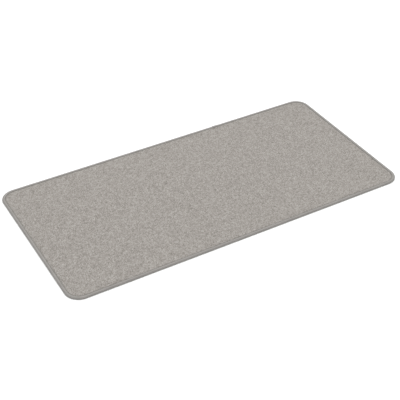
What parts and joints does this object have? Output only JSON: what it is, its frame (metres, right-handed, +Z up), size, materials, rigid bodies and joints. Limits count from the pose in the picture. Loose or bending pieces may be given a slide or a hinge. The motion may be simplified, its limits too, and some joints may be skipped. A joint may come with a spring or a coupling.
{
  "type": "anti fatigue mat",
  "caption": "Flat rectangular cushioned floor mat with rounded corners, a heathered woven face, foam core, rubber underside and a sewn bound edge.",
  "frame": {"origin": "centre of the underside, on the floor", "axes": "+X along the long side, +Y along the short side, +Z up out of the textile face"},
  "size_m": [1.22, 0.6, 0.007],
  "materials": {
    "face_fabric": "matte",
    "binding_tape": "matte",
    "thread": "matte",
    "foam": "matte",
    "bonding_film": "matte",
    "grip_rubber": "matte"
  },
  "bodies": {
    "root": {"face_fabric": "face_fabric", "bonding_film_upper": "bonding_film", "comfort_foam": "foam", "bonding_film_lower": "bonding_film", "grip_backing": "grip_rubber", "edge_binding": "binding_tape", "binding_needle_thread": "thread", "binding_bobbin_thread": "thread"}
  },
  "joints": []
}
